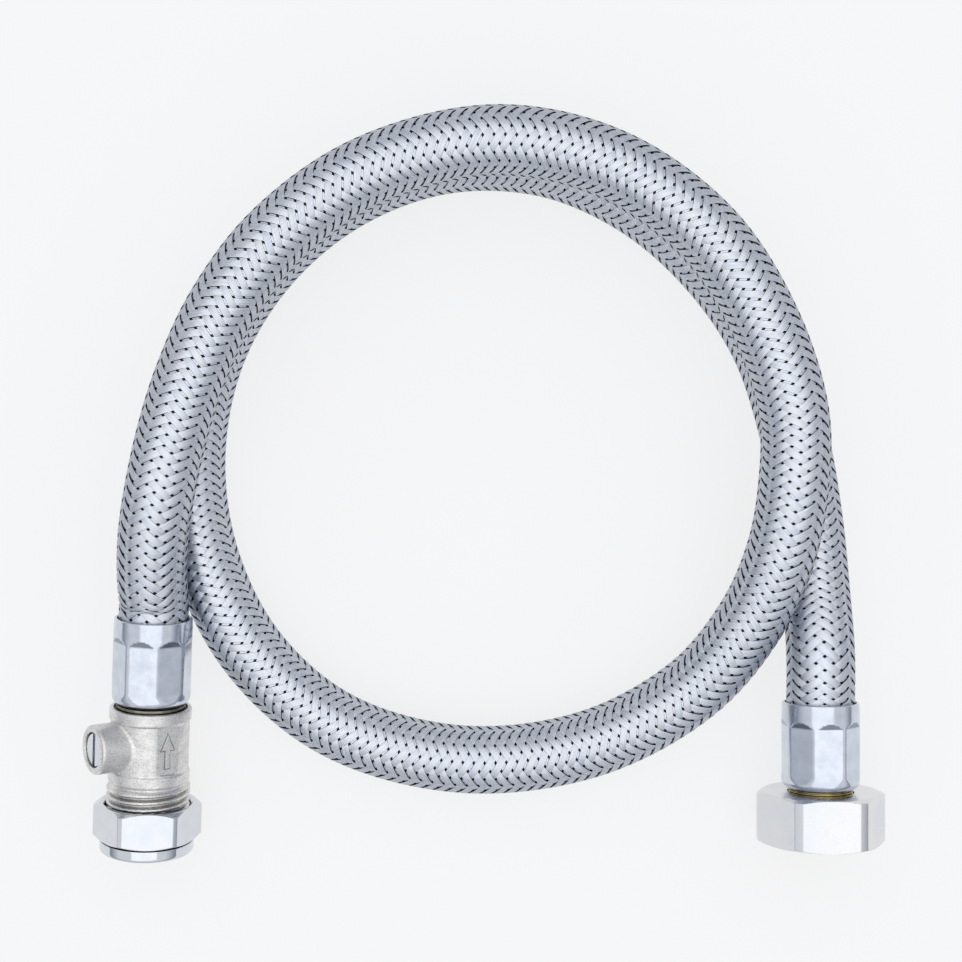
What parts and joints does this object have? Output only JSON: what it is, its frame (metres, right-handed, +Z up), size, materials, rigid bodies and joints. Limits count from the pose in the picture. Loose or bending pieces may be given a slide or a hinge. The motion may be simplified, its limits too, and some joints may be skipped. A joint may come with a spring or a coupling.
{
  "type": "isolating valve flexible connector",
  "caption": "Braided flexible tap connector with a crimped quarter-turn isolating valve for a compression pipe joint at one end and a swivel tap nut at the other.",
  "frame": {"origin": "on the surface that the connector lies on, under the middle of the box round the two end fittings", "axes": "+Z up from the surface, -Y the way the mouths of both fittings face, +X from the valve end to the tap end"},
  "size_m": [0.201, 0.187, 0.0359],
  "materials": {
    "steel_braid": "fine stainless wire braid",
    "liner_rubber": "smooth black rubber",
    "ferrule_steel": "bright pressed stainless steel",
    "nickel_plate": "satin nickel plate on a fine-grained forging",
    "chrome_plate": "bright chrome plate",
    "swivel_nut_plate": "satin nickel plate",
    "bare_brass": "machined brass",
    "ball_chrome": "polished chrome plate",
    "seal_rubber": "moulded rubber",
    "seat_plastic": "white low-friction plastic",
    "fibre_washer": "pressed fibre"
  },
  "bodies": {
    "hose_assembly": {"valve_body": "nickel_plate", "valve_tail": "bare_brass", "valve_tail_seal": "seal_rubber", "valve_ferrule": "ferrule_steel", "ball_seat_inlet": "seat_plastic", "ball_seat_outlet": "seat_plastic", "stem_thrust_washer": "seat_plastic", "hose_braid": "steel_braid", "hose_liner": "liner_rubber", "tap_ferrule": "ferrule_steel", "tap_tail": "bare_brass", "tap_washer": "fibre_washer"},
    "closing_unit": {"stem": "nickel_plate", "ball": "ball_chrome", "stem_o_ring_inner": "seal_rubber", "stem_o_ring_outer": "seal_rubber"},
    "olive": {"olive": "bare_brass"},
    "compression_nut": {"compression_nut": "chrome_plate"},
    "swivel_nut": {"swivel_nut": "swivel_nut_plate"}
  },
  "joints": [
    {"name": "stem_turn", "type": "hinge", "parent": "hose_assembly", "child": "closing_unit", "pos_m": [-0.08503, -0.00207, 0.01563], "axis": [-0.7852, -0.0283, 0.6186], "range_deg": [0, 90]},
    {"name": "olive_slide", "type": "slide", "parent": "hose_assembly", "child": "olive", "axis": [-0.052, -0.9924, -0.1115], "range_m": [0, 0.0055]},
    {"name": "compression_nut_turn", "type": "hinge", "parent": "olive", "child": "compression_nut", "pos_m": [-0.08647, -0.02951, 0.01255], "axis": [-0.052, -0.9924, -0.1115], "range_deg": [0, 1080]},
    {"name": "swivel_nut_turn", "type": "hinge", "parent": "hose_assembly", "child": "swivel_nut", "pos_m": [0.08444, -0.02741, 0.0145], "axis": [0, -1, 0], "continuous": true}
  ],
  "couplings": [
    {"joint": "olive_slide", "follows": "compression_nut_turn", "m_per_rad": 0.00028871}
  ]
}
